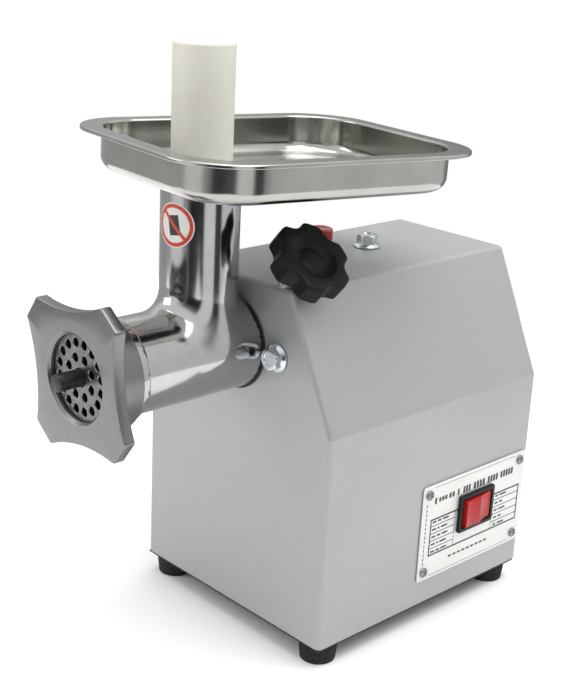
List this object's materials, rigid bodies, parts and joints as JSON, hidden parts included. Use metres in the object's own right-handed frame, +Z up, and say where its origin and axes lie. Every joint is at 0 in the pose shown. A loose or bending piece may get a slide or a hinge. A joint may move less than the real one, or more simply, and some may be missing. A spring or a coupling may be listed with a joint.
{
  "type": "electric meat grinder",
  "caption": "Tabletop electric meat grinder: steel housing with motor and gearbox drives an auger in a cast head with feed tray, plunger, perforated plate and star ring nut.",
  "frame": {"origin": "under the middle of the whole object, on the surface it stands on", "axes": "+Z up, -Y towards the grinding head, +X towards the side with the switch"},
  "size_m": [0.2062, 0.3768, 0.418],
  "materials": {
    "housing_paint": "silver-grey satin coating",
    "back_paint": "silver-grey satin coating",
    "base_paint": "black satin",
    "foot_rubber": "matte black",
    "screw_zinc": "zinc plated",
    "gland_plastic": "black",
    "socket_cast": "as cast",
    "gasket_rubber": "black",
    "bolt_zinc": "zinc plated",
    "clamp_steel": "turned",
    "knob_plastic": "black, slightly glossy",
    "gearbox_cast": "as cast",
    "cap_red": "glossy red",
    "drive_steel": "machined",
    "bearing_steel": "ground",
    "seal_rubber": "black",
    "motor_paint": "dark grey",
    "lamination_steel": "laminated",
    "winding_copper": "enamelled copper",
    "fan_plastic": "black",
    "bracket_steel": "galvanised",
    "capacitor_plastic": "off-white",
    "terminal_plastic": "off-white",
    "rating_foil": "printed satin",
    "bezel_plastic": "black",
    "rocker_plastic": "translucent red",
    "head_polish": "polished",
    "bush_bronze": "bronze",
    "auger_steel": "tinned casting",
    "knife_steel": "ground",
    "plate_steel": "ground, dark",
    "ring_metal": "machined satin",
    "tray_steel": "mirror-polished stainless",
    "plunger_plastic": "cream"
  },
  "bodies": {
    "base": {"housing_shell": "housing_paint", "back_panel": "back_paint", "base_plate": "base_paint", "cable_gland": "gland_plastic", "socket_tube": "socket_cast", "nose_gasket": "gasket_rubber", "nose_bolt_1": "bolt_zinc", "nose_bolt_2": "bolt_zinc", "gear_case": "gearbox_cast", "gear_cover": "gearbox_cast", "cover_bolt": "bolt_zinc", "filler_cap": "cap_red", "shaft_seal": "seal_rubber", "output_bearing_front": "bearing_steel", "output_bearing_rear": "bearing_steel", "layshaft_bearing_front": "bearing_steel", "layshaft_bearing_rear": "bearing_steel", "motor_can": "motor_paint", "motor_bell": "gearbox_cast", "motor_bearing_front": "bearing_steel", "motor_bearing_rear": "bearing_steel", "stator_core": "lamination_steel", "stator_winding_front": "winding_copper", "stator_winding_rear": "winding_copper", "drive_bracket": "bracket_steel", "run_capacitor": "capacitor_plastic", "terminal_block": "terminal_plastic", "rating_plate": "rating_foil", "switch_body": "bezel_plastic", "foot_1": "foot_rubber", "panel_screw_1": "screw_zinc", "plate_screw_1": "screw_zinc", "foot_2": "foot_rubber", "panel_screw_2": "screw_zinc", "plate_screw_2": "screw_zinc", "foot_3": "foot_rubber", "panel_screw_3": "screw_zinc", "plate_screw_3": "screw_zinc", "foot_4": "foot_rubber", "panel_screw_4": "screw_zinc", "plate_screw_4": "screw_zinc"},
    "motor_rotor": {"rotor": "lamination_steel", "motor_pinion": "drive_steel", "motor_fan": "fan_plastic"},
    "layshaft_set": {"layshaft": "drive_steel", "layshaft_gear": "drive_steel"},
    "output_set": {"output_shaft": "drive_steel", "output_gear": "drive_steel"},
    "head": {"head_casting": "head_polish", "auger_bush": "bush_bronze", "cutting_plate": "plate_steel"},
    "auger_set": {"auger": "auger_steel", "cross_knife": "knife_steel"},
    "ring": {"ring_nut": "ring_metal"},
    "tray_pan": {"tray": "tray_steel"},
    "stomper": {"plunger": "plunger_plastic"},
    "clamp": {"clamp_screw": "clamp_steel", "clamp_knob": "knob_plastic"},
    "rocker": {"switch_rocker": "rocker_plastic"}
  },
  "joints": [
    {"name": "motor_spin", "type": "hinge", "parent": "base", "child": "motor_rotor", "pos_m": [-0.00835, 0.00635, 0.1232], "axis": [0, 1, 0], "continuous": true},
    {"name": "layshaft_spin", "type": "hinge", "parent": "base", "child": "layshaft_set", "pos_m": [0.00459, 0.05635, 0.1663], "axis": [0, 1, 0], "continuous": true},
    {"name": "output_spin", "type": "hinge", "parent": "base", "child": "output_set", "pos_m": [-0.00835, 0.03635, 0.2146], "axis": [0, 1, 0], "continuous": true},
    {"name": "head_slide", "type": "slide", "parent": "base", "child": "head", "axis": [0, -1, 0], "range_m": [0, 0.08]},
    {"name": "auger_spin", "type": "hinge", "parent": "head", "child": "auger_set", "pos_m": [-0.00835, -0.10365, 0.2146], "axis": [0, 1, 0], "continuous": true},
    {"name": "ring_nut_spin", "type": "hinge", "parent": "head", "child": "ring", "pos_m": [-0.00835, -0.15865, 0.2146], "axis": [0, 1, 0], "continuous": true},
    {"name": "tray_lift", "type": "slide", "parent": "head", "child": "tray_pan", "axis": [0, 0, 1], "range_m": [0, 0.06]},
    {"name": "plunger_lift", "type": "slide", "parent": "head", "child": "stomper", "axis": [0, 0, 1], "range_m": [0, 0.19]},
    {"name": "clamp_spin", "type": "hinge", "parent": "base", "child": "clamp", "pos_m": [0.0457, -0.03565, 0.27358], "axis": [0.6756, 0, 0.7373], "continuous": true},
    {"name": "rocker_tilt", "type": "hinge", "parent": "base", "child": "rocker", "pos_m": [0.09145, 0.11465, 0.0785], "axis": [0, 0, 1], "range_deg": [-13, 0]}
  ],
  "couplings": [
    {"joint": "layshaft_spin", "follows": "motor_spin", "ratio": -0.25},
    {"joint": "output_spin", "follows": "motor_spin", "ratio": 0.097222},
    {"joint": "auger_spin", "follows": "motor_spin", "ratio": 0.097222}
  ]
}
